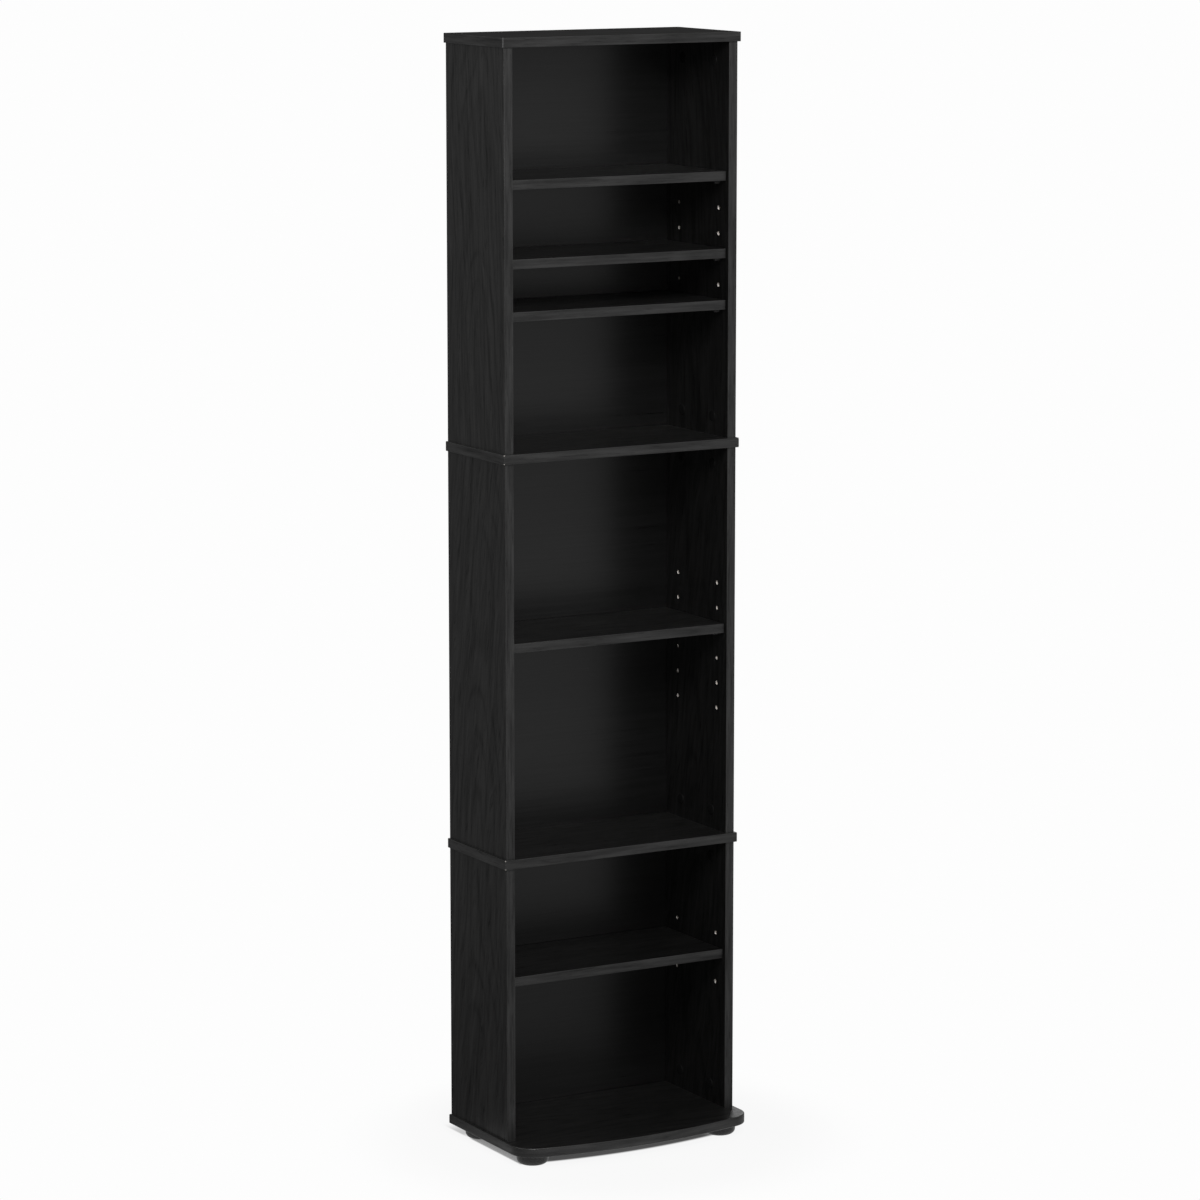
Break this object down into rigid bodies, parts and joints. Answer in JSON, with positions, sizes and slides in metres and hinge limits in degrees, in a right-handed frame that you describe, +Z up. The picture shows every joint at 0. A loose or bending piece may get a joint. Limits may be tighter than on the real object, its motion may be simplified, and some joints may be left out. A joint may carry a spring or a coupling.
{
  "type": "media shelf",
  "caption": "Tall narrow black woodgrain media shelf in three stacked sections with bow-fronted base, round feet and loose shelves on pins.",
  "frame": {"origin": "on the floor, under the middle of the whole shelf's outline, base bow included", "axes": "+Z up, the open front faces -Y, +X to the right as seen from the front"},
  "size_m": [0.334, 0.213, 1.394],
  "materials": {
    "black_woodgrain": "satin black woodgrain foil on particleboard, fine straight grain",
    "black_hardboard": "thin hardboard with a black printed face",
    "black_pin": "satin moulded black plastic",
    "black_cap": "satin moulded black plastic",
    "foot_plastic": "smooth moulded black plastic",
    "zinc_steel": "bright zinc plate",
    "cam_zinc": "die-cast zinc, dull grey",
    "dowel_wood": "bare beech, fluted feel, unfinished"
  },
  "bodies": {
    "carcass": {"base_board": "black_woodgrain", "lower_through_board": "black_woodgrain", "upper_through_board": "black_woodgrain", "top_board": "black_woodgrain", "lower_left_panel": "black_woodgrain", "lower_right_panel": "black_woodgrain", "middle_left_panel": "black_woodgrain", "middle_right_panel": "black_woodgrain", "upper_left_panel": "black_woodgrain", "upper_right_panel": "black_woodgrain", "lower_back_panel": "black_hardboard", "lower_back_nails": "zinc_steel", "lower_cams": "cam_zinc", "lower_cam_caps": "black_cap", "middle_back_panel": "black_hardboard", "middle_back_nails": "zinc_steel", "middle_cams": "cam_zinc", "middle_cam_caps": "black_cap", "upper_back_panel": "black_hardboard", "upper_back_nails": "zinc_steel", "upper_cams": "cam_zinc", "upper_cam_caps": "black_cap", "base_cam_bolts": "zinc_steel", "base_dowels": "dowel_wood", "lower_through_cam_bolts": "zinc_steel", "lower_through_dowels": "dowel_wood", "upper_through_cam_bolts": "zinc_steel", "upper_through_dowels": "dowel_wood", "top_cam_bolts": "zinc_steel", "top_dowels": "dowel_wood", "front_left_foot": "foot_plastic", "front_right_foot": "foot_plastic", "rear_left_foot": "foot_plastic", "rear_right_foot": "foot_plastic", "foot_screws": "zinc_steel", "upper_high_shelf_pins": "black_pin", "upper_centre_shelf_pins": "black_pin", "upper_low_shelf_pins": "black_pin", "middle_shelf_pins": "black_pin", "lower_shelf_pins": "black_pin"},
    "upper_high_shelf": {"upper_high_shelf": "black_woodgrain"},
    "upper_centre_shelf": {"upper_centre_shelf": "black_woodgrain"},
    "upper_low_shelf": {"upper_low_shelf": "black_woodgrain"},
    "middle_shelf": {"middle_shelf": "black_woodgrain"},
    "lower_shelf": {"lower_shelf": "black_woodgrain"}
  },
  "joints": [
    {"name": "upper_high_shelf_slide", "type": "slide", "parent": "carcass", "child": "upper_high_shelf", "axis": [0, -1, 0], "range_m": [0, 0.215]},
    {"name": "upper_centre_shelf_slide", "type": "slide", "parent": "carcass", "child": "upper_centre_shelf", "axis": [0, -1, 0], "range_m": [0, 0.215]},
    {"name": "upper_low_shelf_slide", "type": "slide", "parent": "carcass", "child": "upper_low_shelf", "axis": [0, -1, 0], "range_m": [0, 0.215]},
    {"name": "middle_shelf_slide", "type": "slide", "parent": "carcass", "child": "middle_shelf", "axis": [0, -1, 0], "range_m": [0, 0.215]},
    {"name": "lower_shelf_slide", "type": "slide", "parent": "carcass", "child": "lower_shelf", "axis": [0, -1, 0], "range_m": [0, 0.215]}
  ]
}
